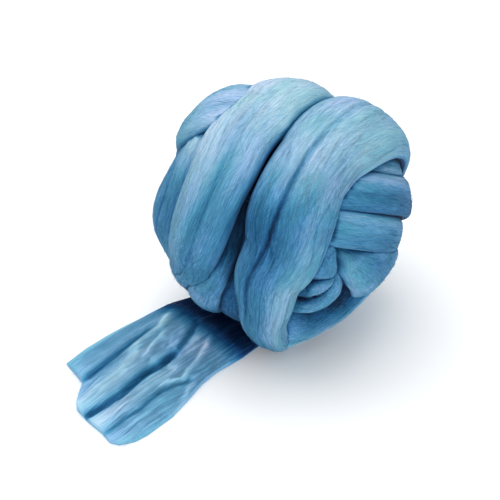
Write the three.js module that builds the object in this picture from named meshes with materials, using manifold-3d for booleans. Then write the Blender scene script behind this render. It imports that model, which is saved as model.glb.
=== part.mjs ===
import * as THREE from 'three';
import { mergeVertices } from 'three/addons/utils/BufferGeometryUtils.js';
import Module from 'manifold-3d';

// A ball of combed merino roving, wound by hand from one soft flat rope of fibres, with its loose end
// lying beside it. Millimetres, +Z up. The origin is the middle of the flat spot that the ball rests on,
// the front is -Y, and the loose end runs out to the front left.

const BALL_CENTRE = new THREE.Vector3(0, 0, 58);
const CORE_RADIUS = 43;
const CORE_SEGMENTS = { around: 24, upright: 16 };
const TURN_ROOT_RADIUS = 36;
const SEAT_GAP = 0.3;
const FLOOR_SIZE = 400;

// Turns start as a plain torus and the loose end as a plain box, and every point is then moved to its place.
const BLANK_TORUS = { radius: 1, tube: 0.5 };
const BLANK_BOX_SIDE = 1;

// A winding axis points out of the ball at a longitude, counted from the front towards +X, and a latitude.
const OUTER_AXIS = { longitude: 63, latitude: -7 };
const INNER_AXIS = { longitude: 168, latitude: 54 };
const BACK_AXIS = { longitude: -28, latitude: 9 };
const FAN_AXIS = { longitude: 131, latitude: 42 };
const NEST_AXIS = { longitude: 11, latitude: 1 };
const RIM_AXIS = { longitude: 0, latitude: 38 };

// The crown of a turn falls away to its edges by the edge drop, and a crease runs along it where the rope
// is folded. Positions across a turn go from -1 at its far edge, by 0 at its crease, to 1 at the edge nearer
// the axis.
const WIDE_ACROSS = [-1, -0.9, -0.65, -0.35, -0.14, 0, 0.14, 0.35, 0.65, 0.85, 0.95, 1];
const PLAIN_ACROSS = [-1, -0.9, -0.65, -0.3, 0, 0.3, 0.65, 0.9, 1];
const STRAND_ACROSS = [-1, -0.8, -0.4, 0, 0.4, 0.8, 1];
const EDGE_ROUNDING = 4;
const CREASE_HALF_WIDTH = 0.13;

// Each turn is a closed ring. A row is one section: its angle round the axis, from the top of the ring, and
// its polar angle from the axis, in degrees, the rope's width and the radius of its crown, in millimetres,
// the place of its crease, as a share of the half width, and its lean, the rise of the edge nearer the axis.
const RIGHT_OUTER_TURN = {
  axis: OUTER_AXIS,
  across: WIDE_ACROSS,
  steps: 52,
  edgeDrop: 8,
  creaseDepth: 1.5,
  sections: [
    { around: 180, polar: 80, width: 36, crown: 63.5, crease: 0, lean: 0 },
    { around: 230, polar: 74, width: 38, crown: 63, crease: 0.2, lean: 0 },
    { around: 275, polar: 68, width: 43, crown: 65, crease: 0.1, lean: 1.5 },
    { around: 318, polar: 67, width: 49, crown: 66.5, crease: -0.2, lean: 3 },
    { around: 0, polar: 69.3, width: 44, crown: 64.5, crease: -0.22, lean: 1.5 },
    { around: 20, polar: 71.2, width: 40, crown: 63, crease: -0.22, lean: 1 },
    { around: 34, polar: 71.3, width: 41.5, crown: 62.5, crease: -0.24, lean: 0.5 },
    { around: 48, polar: 70.1, width: 43.5, crown: 62, crease: -0.3, lean: 0.5 },
    { around: 64, polar: 68, width: 39.5, crown: 61.5, crease: -0.42, lean: 0.5 },
    { around: 81, polar: 71, width: 34, crown: 61.5, crease: -0.5, lean: 0.5 },
    { around: 97, polar: 70.3, width: 28, crown: 61.5, crease: -0.6, lean: 0 },
    { around: 114, polar: 71, width: 23, crown: 62, crease: -0.7, lean: 0 },
    { around: 138, polar: 71, width: 20, crown: 62.5, crease: -0.4, lean: 0 },
  ],
};
const LEFT_OUTER_TURN = {
  axis: OUTER_AXIS,
  across: WIDE_ACROSS,
  steps: 52,
  edgeDrop: 7.5,
  creaseDepth: 0.8,
  sections: [
    { around: 180, polar: 116, width: 34, crown: 60, crease: -0.2 },
    { around: 230, polar: 111, width: 38, crown: 62, crease: -0.1 },
    { around: 280, polar: 105.5, width: 42, crown: 63, crease: 0 },
    { around: 325, polar: 105.5, width: 45, crown: 63, crease: 0.1 },
    { around: 0, polar: 106.8, width: 42.4, crown: 62.4, crease: 0.15 },
    { around: 20, polar: 109, width: 40, crown: 62.5, crease: 0.2 },
    { around: 45, polar: 108.8, width: 36.8, crown: 62, crease: 0.25 },
    { around: 70, polar: 110.2, width: 35, crown: 61.5, crease: 0.3 },
    { around: 86, polar: 113.4, width: 32, crown: 60, crease: 0.3 },
    { around: 97, polar: 116, width: 28, crown: 58.5, crease: 0.2 },
    { around: 110, polar: 120, width: 20, crown: 57, crease: 0 },
    { around: 128, polar: 122, width: 18, crown: 55.5, crease: 0 },
    { around: 150, polar: 119, width: 24, crown: 56.5, crease: 0 },
  ],
};
const GAP_TURN = {
  axis: OUTER_AXIS,
  across: STRAND_ACROSS,
  steps: 32,
  edgeDrop: 4,
  creaseDepth: 0,
  sections: [
    { around: 180, polar: 97, width: 24, crown: 54 },
    { around: 270, polar: 88, width: 22, crown: 54 },
    { around: 0, polar: 86, width: 20, crown: 51 },
    { around: 25, polar: 87, width: 20, crown: 44 },
    { around: 60, polar: 88, width: 21, crown: 37 },
    { around: 86, polar: 90, width: 22, crown: 43 },
    { around: 107, polar: 91, width: 30, crown: 49.5 },
    { around: 130, polar: 93, width: 33, crown: 52 },
    { around: 155, polar: 95, width: 32, crown: 53 },
  ],
};
const PINCHED_TURN = {
  axis: OUTER_AXIS,
  across: STRAND_ACROSS,
  steps: 32,
  edgeDrop: 4,
  creaseDepth: 0,
  sections: [
    { around: 200, polar: 112, width: 20, crown: 56 },
    { around: 280, polar: 104, width: 16, crown: 47 },
    { around: 0, polar: 100, width: 14, crown: 45 },
    { around: 70, polar: 97, width: 10, crown: 47 },
    { around: 92, polar: 98, width: 12, crown: 53 },
    { around: 106, polar: 103, width: 17, crown: 55 },
    { around: 124, polar: 108, width: 20, crown: 55.5 },
    { around: 150, polar: 112, width: 22, crown: 55 },
  ],
};
const FAR_TURN = {
  axis: OUTER_AXIS,
  across: PLAIN_ACROSS,
  steps: 32,
  edgeDrop: 6,
  creaseDepth: 1,
  sections: [
    { around: 0, polar: 142, width: 36, crown: 56, crease: 0.3, lean: 4 },
    { around: 35, polar: 145.5, width: 38, crown: 56.5, crease: 0.3, lean: 3.5 },
    { around: 65, polar: 146, width: 38, crown: 57.5, crease: 0.3, lean: 0 },
    { around: 95, polar: 146, width: 38, crown: 59, crease: 0.35, lean: 0 },
    { around: 125, polar: 143, width: 32, crown: 56, crease: 0.4, lean: 0 },
    { around: 180, polar: 137, width: 34, crown: 58, crease: 0.2, lean: 0 },
    { around: 240, polar: 139, width: 36, crown: 59.5, crease: 0, lean: 0 },
    { around: 300, polar: 134, width: 34, crown: 58.5, crease: 0.1, lean: 0 },
  ],
};
const BACK_TURN = {
  axis: BACK_AXIS,
  across: PLAIN_ACROSS,
  steps: 36,
  edgeDrop: 7,
  creaseDepth: 1,
  sections: [
    { around: 220, polar: 92, width: 22, crown: 46, crease: 0 },
    { around: 310, polar: 90, width: 24, crown: 47, crease: -0.2 },
    { around: 0, polar: 88, width: 36, crown: 57, crease: -0.2 },
    { around: 27, polar: 82.8, width: 42.5, crown: 65.5, crease: -0.1 },
    { around: 45, polar: 83, width: 37.5, crown: 64, crease: 0 },
    { around: 60, polar: 90, width: 30, crown: 60, crease: 0.1 },
    { around: 78, polar: 96, width: 29, crown: 57.5, crease: 0.2 },
    { around: 94, polar: 100, width: 27, crown: 51, crease: 0.2 },
    { around: 112, polar: 102, width: 24, crown: 46, crease: 0.2 },
    { around: 150, polar: 98, width: 22, crown: 45, crease: 0 },
  ],
};
const END_TOP_TURN = {
  axis: INNER_AXIS,
  across: PLAIN_ACROSS,
  steps: 30,
  edgeDrop: 4,
  creaseDepth: 0,
  sections: [
    { around: 230, polar: 54, width: 20, crown: 47 },
    { around: 320, polar: 55, width: 18, crown: 42 },
    { around: 25, polar: 56, width: 20, crown: 51 },
    { around: 65, polar: 55, width: 26, crown: 57 },
    { around: 110, polar: 54, width: 29, crown: 59.5 },
    { around: 160, polar: 54, width: 24, crown: 54 },
  ],
};
const END_UPPER_TURN = {
  axis: INNER_AXIS,
  across: PLAIN_ACROSS,
  steps: 32,
  edgeDrop: 4,
  creaseDepth: 0,
  sections: [
    { around: 210, polar: 75, width: 24, crown: 45 },
    { around: 275, polar: 76, width: 26, crown: 46 },
    { around: 325, polar: 75, width: 20, crown: 42 },
    { around: 350, polar: 74.5, width: 20, crown: 43 },
    { around: 20, polar: 74, width: 20, crown: 53 },
    { around: 50, polar: 74, width: 19.5, crown: 59 },
    { around: 85, polar: 74, width: 20, crown: 60.5 },
    { around: 120, polar: 74, width: 26, crown: 60.5 },
    { around: 160, polar: 74, width: 28, crown: 55 },
  ],
};
const END_MIDDLE_TURN = {
  axis: INNER_AXIS,
  across: PLAIN_ACROSS,
  steps: 32,
  edgeDrop: 3.6,
  creaseDepth: 0,
  sections: [
    { around: 215, polar: 96, width: 24, crown: 46 },
    { around: 275, polar: 100, width: 27, crown: 48 },
    { around: 325, polar: 94, width: 20, crown: 42 },
    { around: 350, polar: 92.5, width: 19, crown: 43 },
    { around: 15, polar: 91.5, width: 18.5, crown: 52 },
    { around: 50, polar: 91.5, width: 18.5, crown: 57 },
    { around: 95, polar: 92.5, width: 19, crown: 56.5 },
    { around: 140, polar: 94, width: 24, crown: 57 },
    { around: 180, polar: 94, width: 24, crown: 53 },
  ],
};
const END_FAN_TURN = {
  axis: FAN_AXIS,
  across: PLAIN_ACROSS,
  steps: 40,
  edgeDrop: 4,
  creaseDepth: 0,
  sections: [
    { around: 220, polar: 90, width: 28, crown: 52, lean: 0 },
    { around: 310, polar: 90, width: 12, crown: 46, lean: 0 },
    { around: 30, polar: 90, width: 8, crown: 48, lean: 0 },
    { around: 64, polar: 89, width: 7, crown: 46, lean: 0 },
    { around: 75, polar: 88.7, width: 9.5, crown: 48.5, lean: 0 },
    { around: 84, polar: 89.8, width: 17, crown: 53, lean: 0.5 },
    { around: 94, polar: 89.5, width: 23, crown: 55.3, lean: 1.5 },
    { around: 108, polar: 89, width: 27.5, crown: 55.5, lean: 2.5 },
    { around: 130, polar: 88.5, width: 35, crown: 56, lean: 3 },
    { around: 170, polar: 87, width: 38, crown: 56, lean: 2 },
  ],
};
const LOWER_INNER_TURN = {
  axis: INNER_AXIS,
  across: PLAIN_ACROSS,
  steps: 28,
  edgeDrop: 6,
  creaseDepth: 0,
  sections: [
    { around: 240, polar: 134, width: 34, crown: 55 },
    { around: 310, polar: 138, width: 28, crown: 50 },
    { around: 0, polar: 140, width: 22, crown: 44 },
    { around: 70, polar: 142, width: 20, crown: 41 },
    { around: 100, polar: 140, width: 24, crown: 45 },
    { around: 130, polar: 138, width: 34, crown: 54 },
    { around: 180, polar: 134, width: 36, crown: 57 },
  ],
};
const RIM_STRAND = {
  axis: RIM_AXIS,
  across: PLAIN_ACROSS,
  steps: 40,
  edgeDrop: 7,
  creaseDepth: 0,
  sections: [
    { around: 340, polar: 90, width: 12, crown: 45, lean: 0 },
    { around: 80, polar: 90, width: 12, crown: 45, lean: 0 },
    { around: 140, polar: 88, width: 14, crown: 44, lean: 0 },
    { around: 165, polar: 80, width: 24, crown: 52, lean: -2 },
    { around: 180, polar: 80.5, width: 25, crown: 58.3, lean: -6 },
    { around: 193, polar: 84.5, width: 16, crown: 57, lean: -4 },
    { around: 206, polar: 85.5, width: 13, crown: 55, lean: -4 },
    { around: 219, polar: 84.5, width: 13, crown: 53.6, lean: -4 },
    { around: 233, polar: 81, width: 16, crown: 52.5, lean: -4 },
    { around: 250, polar: 80, width: 18, crown: 49, lean: 0 },
  ],
};
const PINCH_STRAND = {
  axis: OUTER_AXIS,
  across: STRAND_ACROSS,
  steps: 40,
  edgeDrop: 3,
  creaseDepth: 0,
  sections: [
    { around: 230, polar: 52, width: 10, crown: 44 },
    { around: 330, polar: 52, width: 8, crown: 44 },
    { around: 40, polar: 50, width: 7, crown: 49 },
    { around: 55, polar: 48, width: 9, crown: 53 },
    { around: 62, polar: 47, width: 11, crown: 53.5 },
    { around: 69, polar: 46.5, width: 14, crown: 53.5 },
    { around: 76, polar: 46, width: 16, crown: 52.5 },
    { around: 82, polar: 46.5, width: 15, crown: 49 },
    { around: 92, polar: 48, width: 12, crown: 43 },
    { around: 120, polar: 52, width: 10, crown: 42 },
  ],
};

// Two small strands of the first turns show inside the hollow at the ball's end, one round the other.
const INNER_NEST_STRAND = {
  axis: NEST_AXIS,
  across: STRAND_ACROSS,
  steps: 32,
  edgeDrop: 3.5,
  creaseDepth: 0,
  sections: [
    { around: 130, polar: 10, width: 7, crown: 47 },
    { around: 183, polar: 8, width: 8.5, crown: 50 },
    { around: 215, polar: 8, width: 8.5, crown: 51 },
    { around: 243, polar: 10, width: 8, crown: 51.5 },
    { around: 258, polar: 14, width: 6, crown: 50.5 },
    { around: 268, polar: 18, width: 4.5, crown: 47 },
    { around: 300, polar: 19, width: 4, crown: 44 },
    { around: 20, polar: 15, width: 5, crown: 44 },
  ],
};
const OUTER_NEST_STRAND = {
  axis: NEST_AXIS,
  across: STRAND_ACROSS,
  steps: 32,
  edgeDrop: 3.5,
  creaseDepth: 0,
  sections: [
    { around: 90, polar: 20, width: 7, crown: 46 },
    { around: 150, polar: 20.5, width: 8, crown: 49 },
    { around: 185, polar: 21, width: 8.5, crown: 51 },
    { around: 215, polar: 20, width: 8.5, crown: 52 },
    { around: 240, polar: 18.5, width: 8.5, crown: 52 },
    { around: 262, polar: 18, width: 6.5, crown: 49.5 },
    { around: 290, polar: 17, width: 5, crown: 46 },
    { around: 0, polar: 18, width: 5, crown: 44 },
  ],
};

const TURNS = [
  RIGHT_OUTER_TURN,
  LEFT_OUTER_TURN,
  GAP_TURN,
  PINCHED_TURN,
  FAR_TURN,
  BACK_TURN,
  END_TOP_TURN,
  END_UPPER_TURN,
  END_MIDDLE_TURN,
  END_FAN_TURN,
  LOWER_INNER_TURN,
  RIM_STRAND,
  PINCH_STRAND,
  INNER_NEST_STRAND,
  OUTER_NEST_STRAND,
];

// The loose end is measured along its middle line, from its torn end to where it goes in under the ball,
// and across it, with positive to the right of someone looking along it at the ball. Its lanes are the
// places across it where its height is worked out, besides its creases and their shoulders.
const LOOSE_END_START = new THREE.Vector3(-84, -64.5, 0);
const LOOSE_END_HEADING = 44.6;
const LOOSE_END_LENGTH = 98;
const LOOSE_END_STEPS = 22;
const LOOSE_END_EDGE_THICKNESS = 1.6;
const LOOSE_END_EDGE_ROUNDING = 5;
const LOOSE_END_LANES = [-29, -27, -23, -18.5, -4, 11, 23, 26.5, 29];
const LOOSE_END_SECTIONS = [
  { along: -12, left: -27.5, right: 28.5, thickness: 3.2 },
  { along: 5, left: -29.5, right: 30.5, thickness: 5.2 },
  { along: 20, left: -31.5, right: 30, thickness: 6.4 },
  { along: 32, left: -31.5, right: 27.2, thickness: 7 },
  { along: 43, left: -30.5, right: 24.2, thickness: 7.6 },
  { along: 53, left: -29, right: 23.2, thickness: 8 },
  { along: 68, left: -27.5, right: 24.5, thickness: 8.5 },
  { along: 84, left: -23, right: 24, thickness: 6 },
  { along: 98, left: -9, right: 16, thickness: 3 },
];
const TORN_EDGE = [
  { across: -29, along: 7 },
  { across: -14, along: 4.5 },
  { across: -9, along: -2 },
  { across: -4, along: -7.5 },
  { across: 17, along: -8.5 },
  { across: 25, along: -9.5 },
  { across: 29, along: -6 },
];
const CREASE_SHOULDER = 1.6;
const LOOSE_END_CREASES = [
  { across: -13, halfWidth: 2.6, depth: 0.35 },
  { across: 5.5, halfWidth: 2.8, depth: 0.6 },
  { across: 17, halfWidth: 2.4, depth: 0.4 },
];

const WOOL_BLUE = 0x6fb0d6;
const LOOSE_WOOL_BLUE = 0x7ab8dc;
const WOOL_ROUGHNESS = 0.75;

const wasm = await Module();
wasm.setup();

function toRadians(degrees) {
  return THREE.MathUtils.degToRad(degrees);
}

function axisFrame(axis) {
  const longitude = toRadians(axis.longitude);
  const latitude = toRadians(axis.latitude);
  const level = Math.cos(latitude);
  const pole = new THREE.Vector3(
    Math.sin(longitude) * level, -Math.cos(longitude) * level, Math.sin(latitude));
  const top = new THREE.Vector3(0, 0, 1).addScaledVector(pole, -pole.z).normalize();
  const side = new THREE.Vector3().crossVectors(pole, top);
  return { pole, top, side };
}

function sectionDirection(frame, section) {
  const around = toRadians(section.around);
  const polar = toRadians(section.polar);
  return new THREE.Vector3()
    .addScaledVector(frame.pole, Math.cos(polar))
    .addScaledVector(frame.top, Math.cos(around) * Math.sin(polar))
    .addScaledVector(frame.side, Math.sin(around) * Math.sin(polar));
}

// One ring of roving: a torus whose every section is moved to its place over the ball. The section runs
// across the crown, then straight down to the root inside the core.
function turnGeometry(turn) {
  const { across, steps } = turn;
  const frame = axisFrame(turn.axis);
  const path = new THREE.CatmullRomCurve3(
    turn.sections.map((section) => sectionDirection(frame, section)), true, 'catmullrom');
  const sizes = new THREE.CatmullRomCurve3(
    turn.sections.map((section) => new THREE.Vector3(section.width, section.crown, 0)), true, 'catmullrom');
  const folds = new THREE.CatmullRomCurve3(
    turn.sections.map((section) => new THREE.Vector3(section.crease ?? 0, section.lean ?? 0, 0)),
    true, 'catmullrom');
  const ring = [...across.map((place) => ({ place, isRoot: false })),
    { place: 1, isRoot: true }, { place: -1, isRoot: true }];
  const geometry = new THREE.TorusGeometry(BLANK_TORUS.radius, BLANK_TORUS.tube, ring.length, steps);
  const position = geometry.attributes.position;
  for (let index = 0; index < position.count; index += 1) {
    const step = Math.round(geometry.attributes.uv.getX(index) * steps) % steps;
    const corner = ring[Math.round(geometry.attributes.uv.getY(index) * ring.length) % ring.length];
    const middle = path.getPoint(step / steps).normalize();
    const towardsAxis = new THREE.Vector3().crossVectors(middle, path.getTangent(step / steps)).normalize();
    const { x: width, y: crown } = sizes.getPoint(step / steps);
    const { x: creasePlace, y: lean } = folds.getPoint(step / steps);
    const place = corner.place + creasePlace * (1 - Math.abs(corner.place));
    const crease = turn.creaseDepth * Math.exp(-(((place - creasePlace) / CREASE_HALF_WIDTH) ** 2));
    const radius = crown + lean * place - turn.edgeDrop * Math.abs(place) ** EDGE_ROUNDING - crease;
    const angle = place * width / 2 / crown;
    const point = middle.multiplyScalar(Math.cos(angle))
      .addScaledVector(towardsAxis, Math.sin(angle))
      .multiplyScalar(corner.isRoot ? TURN_ROOT_RADIUS : radius)
      .add(BALL_CENTRE);
    position.setXYZ(index, point.x, point.y, point.z);
  }
  return geometry;
}

// Reads one column of a table at a place between two of its rows.
function readColumn(rows, key, column, place) {
  const last = rows.length - 1;
  const held = THREE.MathUtils.clamp(place, rows[0][key], rows[last][key]);
  const next = Math.max(1, rows.findIndex((row) => row[key] >= held));
  const before = rows[next - 1];
  const share = (held - before[key]) / (rows[next][key] - before[key]);
  return THREE.MathUtils.lerp(before[column], rows[next][column], share);
}

// The loose end: a thin slab with lengthwise lobes, a level underside and a torn end. The same shape, grown
// a little all round, clears its seat under the ball.
function looseEndGeometry(grow) {
  const folds = LOOSE_END_CREASES.flatMap(({ across, halfWidth: reach }) => [
    across - reach * CREASE_SHOULDER, across, across + reach * CREASE_SHOULDER]);
  const lanes = [...LOOSE_END_LANES, ...folds].sort((a, b) => a - b);
  const halfWidth = lanes[lanes.length - 1];
  const geometry = new THREE.BoxGeometry(
    BLANK_BOX_SIDE, BLANK_BOX_SIDE, BLANK_BOX_SIDE, lanes.length - 1, LOOSE_END_STEPS, 1);
  const position = geometry.attributes.position;
  for (let index = 0; index < position.count; index += 1) {
    const lane = lanes[Math.round((position.getX(index) / BLANK_BOX_SIDE + 0.5) * (lanes.length - 1))];
    const share = position.getY(index) / BLANK_BOX_SIDE + 0.5;
    const start = readColumn(TORN_EDGE, 'across', 'along', lane) - grow;
    const along = THREE.MathUtils.lerp(start, LOOSE_END_LENGTH + grow, share);
    const left = readColumn(LOOSE_END_SECTIONS, 'along', 'left', along) - grow;
    const right = readColumn(LOOSE_END_SECTIONS, 'along', 'right', along) + grow;
    const across = THREE.MathUtils.mapLinear(lane, -halfWidth, halfWidth, left, right);
    const fullness = Math.sqrt(1 - Math.abs(lane / halfWidth) ** LOOSE_END_EDGE_ROUNDING);
    const crease = LOOSE_END_CREASES.reduce((deepest, fold) => Math.max(
      deepest, fold.depth * Math.exp(-(((lane - fold.across) / fold.halfWidth) ** 2))), 0);
    const thickness = readColumn(LOOSE_END_SECTIONS, 'along', 'thickness', along);
    const height = Math.max(LOOSE_END_EDGE_THICKNESS, thickness * fullness * (1 - crease)) + grow;
    position.setXYZ(index, across, along, position.getZ(index) > 0 ? height : -grow);
  }
  const heading = toRadians(LOOSE_END_HEADING) - Math.PI / 2;
  geometry.rotateZ(heading);
  geometry.translate(LOOSE_END_START.x, LOOSE_END_START.y, LOOSE_END_START.z);
  return geometry;
}

function weld(geometry) {
  geometry.deleteAttribute('normal');
  geometry.deleteAttribute('uv');
  return mergeVertices(geometry);
}

function solidOf(geometry) {
  const welded = weld(geometry);
  return new wasm.Manifold(new wasm.Mesh({
    numProp: 3,
    vertProperties: new Float32Array(welded.attributes.position.array),
    triVerts: new Uint32Array(welded.index.array),
  }));
}

function geometryOf(solid) {
  const mesh = solid.getMesh();
  const geometry = new THREE.BufferGeometry();
  geometry.setAttribute('position', new THREE.BufferAttribute(mesh.vertProperties, mesh.numProp));
  geometry.setIndex(new THREE.BufferAttribute(mesh.triVerts, 1));
  return geometry;
}

// The ball: the core and every turn joined as one solid, cut level where it rests, with a seat for the
// loose end that comes out from under it.
function woundBallGeometry() {
  const core = new THREE.SphereGeometry(CORE_RADIUS, CORE_SEGMENTS.around, CORE_SEGMENTS.upright)
    .translate(...BALL_CENTRE);
  const floor = new THREE.BoxGeometry(FLOOR_SIZE, FLOOR_SIZE, FLOOR_SIZE).translate(0, 0, -FLOOR_SIZE / 2);
  let ball = solidOf(core);
  for (const turn of TURNS) {
    ball = ball.add(solidOf(turnGeometry(turn)));
  }
  ball = ball.subtract(solidOf(floor));
  ball = ball.subtract(solidOf(looseEndGeometry(SEAT_GAP)));
  return geometryOf(ball);
}

function pieceMesh(name, geometry, colour) {
  geometry.computeVertexNormals();
  const material = new THREE.MeshStandardMaterial({ color: colour, roughness: WOOL_ROUGHNESS, metalness: 0 });
  const mesh = new THREE.Mesh(geometry, material);
  mesh.name = name;
  return mesh;
}

const roving = new THREE.Group();
roving.add(pieceMesh('wound_ball', woundBallGeometry(), WOOL_BLUE));
roving.add(pieceMesh('loose_end', weld(looseEndGeometry(0)), LOOSE_WOOL_BLUE));

export default roving;
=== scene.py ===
import math

import bmesh
import bpy
import numpy as np
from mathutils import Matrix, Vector
from mathutils.bvhtree import BVHTree


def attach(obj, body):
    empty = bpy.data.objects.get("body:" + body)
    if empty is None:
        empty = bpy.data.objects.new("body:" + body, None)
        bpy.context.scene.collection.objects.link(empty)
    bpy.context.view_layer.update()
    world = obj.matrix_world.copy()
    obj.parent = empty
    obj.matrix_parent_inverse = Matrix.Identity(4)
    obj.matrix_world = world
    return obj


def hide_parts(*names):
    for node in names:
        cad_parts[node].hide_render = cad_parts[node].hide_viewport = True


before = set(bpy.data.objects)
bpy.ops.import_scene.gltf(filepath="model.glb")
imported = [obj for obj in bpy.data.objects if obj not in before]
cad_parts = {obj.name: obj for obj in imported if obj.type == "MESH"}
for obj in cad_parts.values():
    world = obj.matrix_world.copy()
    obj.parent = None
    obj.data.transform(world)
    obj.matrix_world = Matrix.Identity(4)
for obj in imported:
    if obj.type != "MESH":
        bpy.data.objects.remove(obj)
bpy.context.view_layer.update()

# The loose end. The last stretch of the rope, drawn flat by hand and torn off, lies on the table and goes in
# under the ball. Combed merino has no twist, so it spreads into soft lengthwise lobes with creases between.
MM = 0.001
# Where it starts on the table, its heading from +X, and its sizes, in millimetres and steps.
END_PLACE = (-84.0, -64.5)
END_HEADING = math.radians(44.6)
END_LENGTH = 98.0
END_HALF_WIDTH = 31.0
END_ROUNDING = 3
END_EDGE_HEIGHT = 0.9
END_GRID = (220, 150)
# Distance along the loose end, its two edges across it, and its thickness, in millimetres.
END_SECTIONS = np.array([
    (-12, -27.5, 28.5, 3.2),
    (5, -29.5, 30.5, 5.2),
    (20, -31.5, 30.0, 6.4),
    (32, -31.5, 27.2, 7.0),
    (43, -30.5, 24.2, 7.6),
    (53, -29.0, 23.2, 8.0),
    (68, -27.5, 24.5, 8.5),
    (84, -23.0, 24.0, 6.0),
    (98, -9.0, 16.0, 3.0),
])
# The torn edge: a place across and how far along it starts there.
TORN_EDGE = np.array([
    (-32, 7.5),
    (-22, 6.0),
    (-14, 4.5),
    (-9, -2.0),
    (-4, -7.5),
    (6, -8.5),
    (17, -8.5),
    (24, -9.5),
    (28, -7.5),
    (31, -1.0),
])
# Creases and ridges: height, half width, and the places along and across that each runs through.
END_FOLDS = (
    (-1.6, 2.0, [(0, -12.5), (18, -13.4), (37, -14.4), (52, -14.3)]),
    (-3.0, 2.1, [(-14, 4.0), (-5, 5.0), (2, 6.0), (10, 6.4), (18, 5.6), (26, 5.0), (34, 6.0), (46, 4.8)]),
    (-1.7, 2.1, [(34, 6.0), (46, 4.8), (66, -2.0)]),
    (-1.0, 1.6, [(-14, 18.2), (3, 18.0), (10, 19.1), (18, 18.0), (25, 17.5), (31, 18.4), (36, 20.5),
                 (44, 23.0)]),
    (1.4, 4.5, [(-20, -3.4), (8, -3.3), (18, -3.6), (26, -5.0), (38, -8.0)]),
    (1.2, 1.5, [(28, -1.5), (34, -3.2), (41, -5.6), (46, -6.6), (54, -8.0)]),
    (1.3, 2.2, [(26, -10.0), (35, -11.2), (42, -11.9), (50, -12.0), (56, -14.7), (65, -17.5)]),
    (1.0, 3.5, [(-20, 12.5), (2, 13.0), (12, 12.6), (22, 12.2), (34, 13.0), (45, 12.0)]),
    (1.2, 1.5, [(22, 15.7), (31, 16.8), (36, 19.0), (41, 17.0), (48, 15.5), (55, 12.8), (66, 8.0)]),
    (1.0, 1.5, [(18, 30.0), (26, 28.8), (35, 24.3), (46, 21.0)]),
)
FOLD_RUN_OUT = 8.0
# The crumpled part: its middle, its reach and the size of one crumple, each along and then across.
CRUMPLED_MIDDLE = (40.0, -3.0)
CRUMPLED_REACH = (20.0, 16.0)
CRUMPLE_SIZE = (2.6, 1.7)
CRUMPLE_SLANT = 0.3
CRUMPLE_HEIGHT = 0.15
# Where in the random heights the crumples are read from, and over how many cells.
CRUMPLE_CELLS = 64
CRUMPLE_START = (20, 40)
# Painted shade and light: how much of the height of a crease, a ridge and a lock shows as tone, so creases
# are darker and ridges and locks paler, and how much deeper blue, as a height, the crumpled part is.
CREASE_TONE = 1.5
RIDGE_TONE = 0.85
LOCK_TONE = 0.6
CRUMPLED_TONE = -0.3
# Painted light: places across, and how much paler the loose end's tone is made there than the ball's,
# standing in for the brighter light on its lobes.
END_PAINTED_LIGHT = np.array([(-30, 0.26), (-5, 0.18), (10, 0.38), (30, 0.13)])
# The tone of its thin edge, the size that its UV map stands for, and the contrast of its streaks.
END_SKIRT_TONE = 0.7
END_MAP_SIZE = (105.0, 60.0)
END_CONTRAST = 0.16
# The rope that the loose end's locks are read from: its length, where the loose end starts, and its number.
END_ROPE_LENGTH = 150.0
END_ROPE_START = 20
END_SEED = 3
# Strand sizes: how wide, how long and how high the locks of fibres stand, in millimetres.
LOCKS = ((13.0, 110.0, 0.9), (6.0, 90.0, 0.28), (2.4, 60.0, 0.06))
LOCK_WANDER = 2.5
LOCK_BENDS = 9
# Fine partings between locks: how far apart, how long and how deep, and the share of a gap that is open.
PARTING_SPACING = 4.5
PARTING_LENGTH = 85.0
PARTING_DEPTH = 0.34
PARTING_OPEN = 0.12
# Random heights, and the steps through them that keep ropes, lock sizes and partings unlike one another.
LATTICE_CELLS = 256
LATTICE = np.random.default_rng(7).uniform(-1, 1, (LATTICE_CELLS, LATTICE_CELLS))
ROPE_STEP = 17.3
SIZE_STEP = 31.7
PARTING_STEP = 11.1
# Tones run from 0 in the deepest parting to 1 on a lock in full light.
MIDDLE_TONE = 0.5
TONE_PER_MM = 0.17
# The dye from tone 0 to tone 1. Opened out, the wool is a clearer blue.
OPENED_BLUES = ((0.0, "#08214a"), (0.22, "#195b8c"), (0.5, "#4e97bf"), (0.78, "#8fc0dc"), (1.0, "#c8dfea"))


def soft_noise(across, along, cells):
    """Smooth heights from -1 to 1 between random values, closing on itself after that many cells along."""
    row = np.floor(across).astype(int)
    column = np.floor(along).astype(int)
    x = across - row
    y = along - column
    x = x * x * (3 - 2 * x)
    y = y * y * (3 - 2 * y)
    here, after = (LATTICE[row % LATTICE_CELLS, (column + step) % cells] for step in (0, 1))
    beside, corner = (LATTICE[(row + 1) % LATTICE_CELLS, (column + step) % cells] for step in (0, 1))
    return (here * (1 - y) + after * y) * (1 - x) + (beside * (1 - y) + corner * y) * x


def lock_relief(across, along, length, seed):
    """The height of the combed locks, in millimetres, at places across and along a rope of that length."""
    bends = along / length * LOCK_BENDS
    wander = LOCK_WANDER * soft_noise(np.full_like(along, seed + 0.5), bends, LOCK_BENDS)
    height = np.zeros_like(along)
    for number, (width, reach, rise) in enumerate(LOCKS):
        cells = max(2, round(length / reach))
        lane = (across + wander) / width + seed * ROPE_STEP + number * SIZE_STEP
        height += rise * soft_noise(lane, along / length * cells, cells)
    cells = max(2, round(length / PARTING_LENGTH))
    lane = (across + wander) / PARTING_SPACING + seed * PARTING_STEP
    parting = soft_noise(lane, along / length * cells, cells)
    return height - PARTING_DEPTH * np.exp(-(parting / PARTING_OPEN) ** 2)


def end_sides(along):
    """The two edges of the loose end and its thickness, at distances along it."""
    return (np.interp(along, END_SECTIONS[:, 0], END_SECTIONS[:, column]) for column in (1, 2, 3))


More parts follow.
